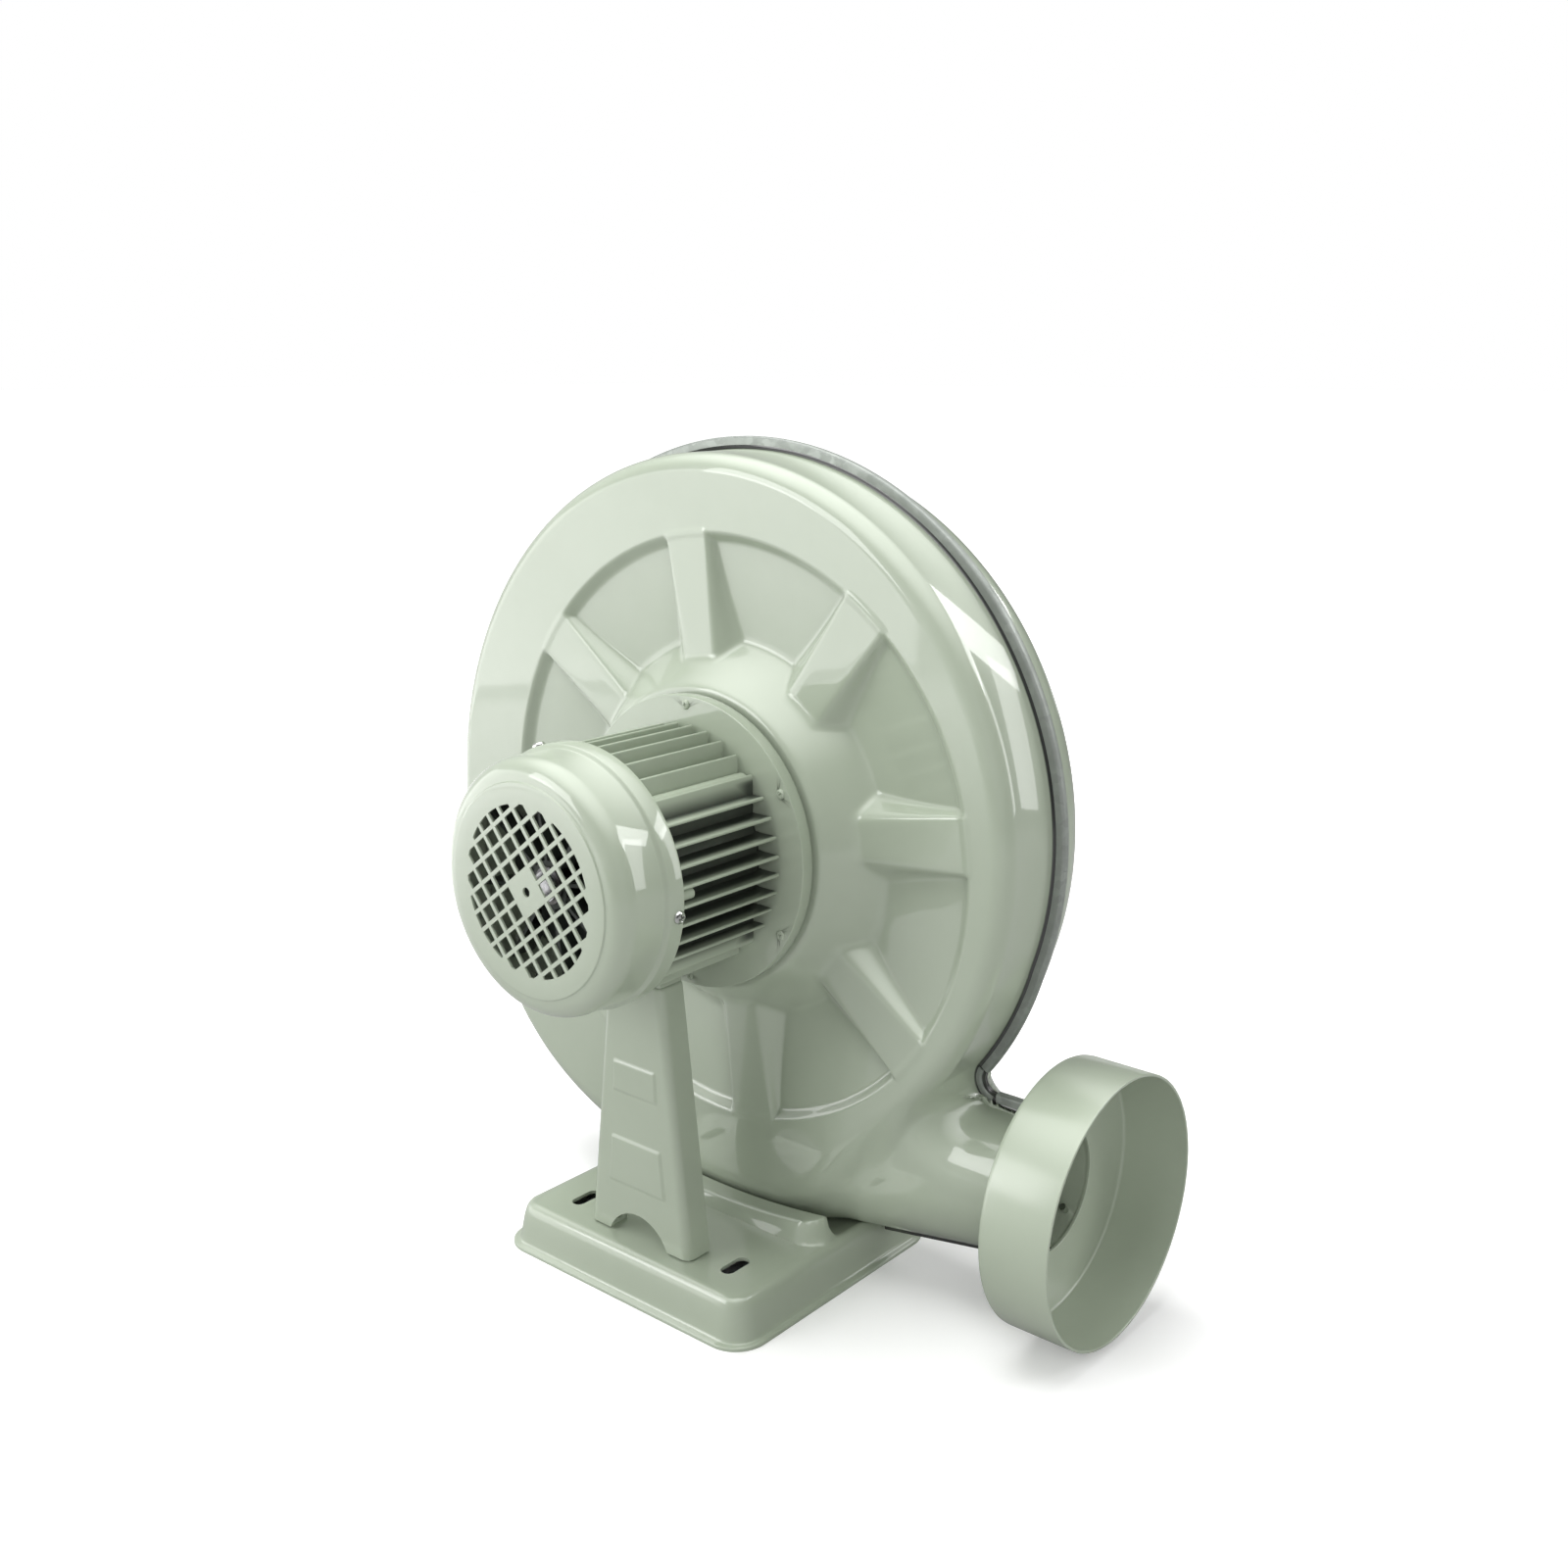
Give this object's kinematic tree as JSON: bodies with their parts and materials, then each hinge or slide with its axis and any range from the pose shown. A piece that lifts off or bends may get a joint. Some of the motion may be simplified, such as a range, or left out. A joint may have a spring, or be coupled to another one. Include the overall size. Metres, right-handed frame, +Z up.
{
  "type": "centrifugal exhaust fan",
  "caption": "Centrifugal exhaust fan: green-grey enamelled scroll casing on a tray base, finned motor, closed impeller and round duct collars.",
  "frame": {"origin": "on the floor under the shaft, midway between the two bolt slots of the base", "axes": "+X towards the outlet, +Y from the motor to the inlet along the shaft, +Z up"},
  "size_m": [0.4851, 0.2657, 0.4754],
  "materials": {
    "green_enamel": "gloss",
    "galvanised_strip": "satin",
    "galvanised_sheet": "satin",
    "bare_steel": "machined",
    "bearing_steel": "polished",
    "plated_screws": "zinc plated",
    "cast_aluminium": "cast",
    "copper_wire": "varnished",
    "dark_plastic": "matt",
    "rubber": "matt"
  },
  "bodies": {
    "housing": {"base_plate": "green_enamel", "support_leg": "green_enamel", "leg_foot_screws": "plated_screws", "leg_top_screws": "plated_screws", "front_shell": "green_enamel", "back_shell": "green_enamel", "seam_strip": "galvanised_strip", "outlet_seam_strip": "galvanised_strip", "saddle_bolts": "plated_screws", "outlet_collar": "green_enamel", "outlet_screws": "plated_screws", "inlet_collar": "green_enamel", "inlet_cone": "green_enamel", "inlet_screws": "plated_screws", "motor_flange": "green_enamel", "flange_screws": "plated_screws", "motor_frame": "green_enamel", "rear_shield": "green_enamel", "tie_bolts": "plated_screws", "stator_core": "bare_steel", "stator_windings": "copper_wire", "bearing_outer_rings": "bearing_steel", "wave_washer": "bare_steel", "shaft_seal": "rubber", "fan_cowl": "green_enamel", "cowl_screws": "plated_screws", "cable_gland": "dark_plastic"},
    "rotor": {"rotor_core": "bare_steel", "rotor_end_rings": "cast_aluminium", "shaft": "bare_steel", "bearing_inner_rings": "bearing_steel", "bearing_balls": "bearing_steel", "cooling_fan": "dark_plastic", "fan_clip": "bare_steel", "impeller_hub": "cast_aluminium", "hub_rivets": "galvanised_sheet", "impeller_plate": "galvanised_sheet", "impeller_blades": "galvanised_sheet", "impeller_shroud": "galvanised_sheet", "shaft_key": "bare_steel", "impeller_washer": "bare_steel", "impeller_bolt": "plated_screws"}
  },
  "joints": [
    {"name": "rotor_spin", "type": "hinge", "parent": "housing", "child": "rotor", "pos_m": [0, 0.03, 0.254], "axis": [0, 1, 0], "continuous": true}
  ]
}
